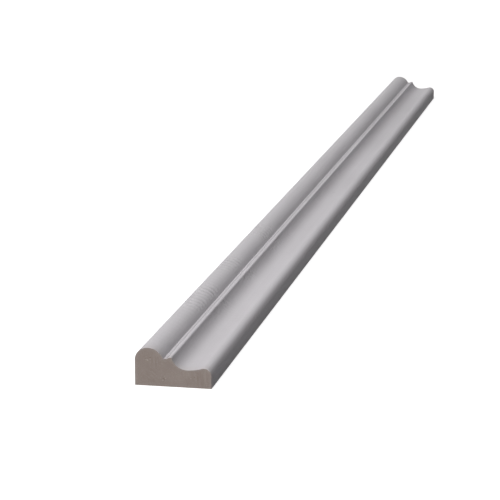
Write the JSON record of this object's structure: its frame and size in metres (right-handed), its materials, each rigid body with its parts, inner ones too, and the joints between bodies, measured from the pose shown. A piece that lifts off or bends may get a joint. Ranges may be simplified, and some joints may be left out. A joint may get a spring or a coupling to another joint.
{
  "type": "moulding",
  "caption": "Straight length of primed fibreboard panel moulding: a round bead and quirk on the thick edge, a fine nib, then a shallow cove to a rounded thin edge.",
  "frame": {"origin": "middle of the flat back, half way along the length", "axes": "+X across the width from the thick beaded edge to the thin rounded edge, +Y along the length, +Z out of the back through the moulded face"},
  "size_m": [0.036, 0.9, 0.018],
  "materials": {
    "primed_board": "satin off-white primer on the face and edges, bare grey-brown fibreboard on the sawn ends and the back"
  },
  "bodies": {
    "root": {"moulding": "primed_board"}
  },
  "joints": []
}
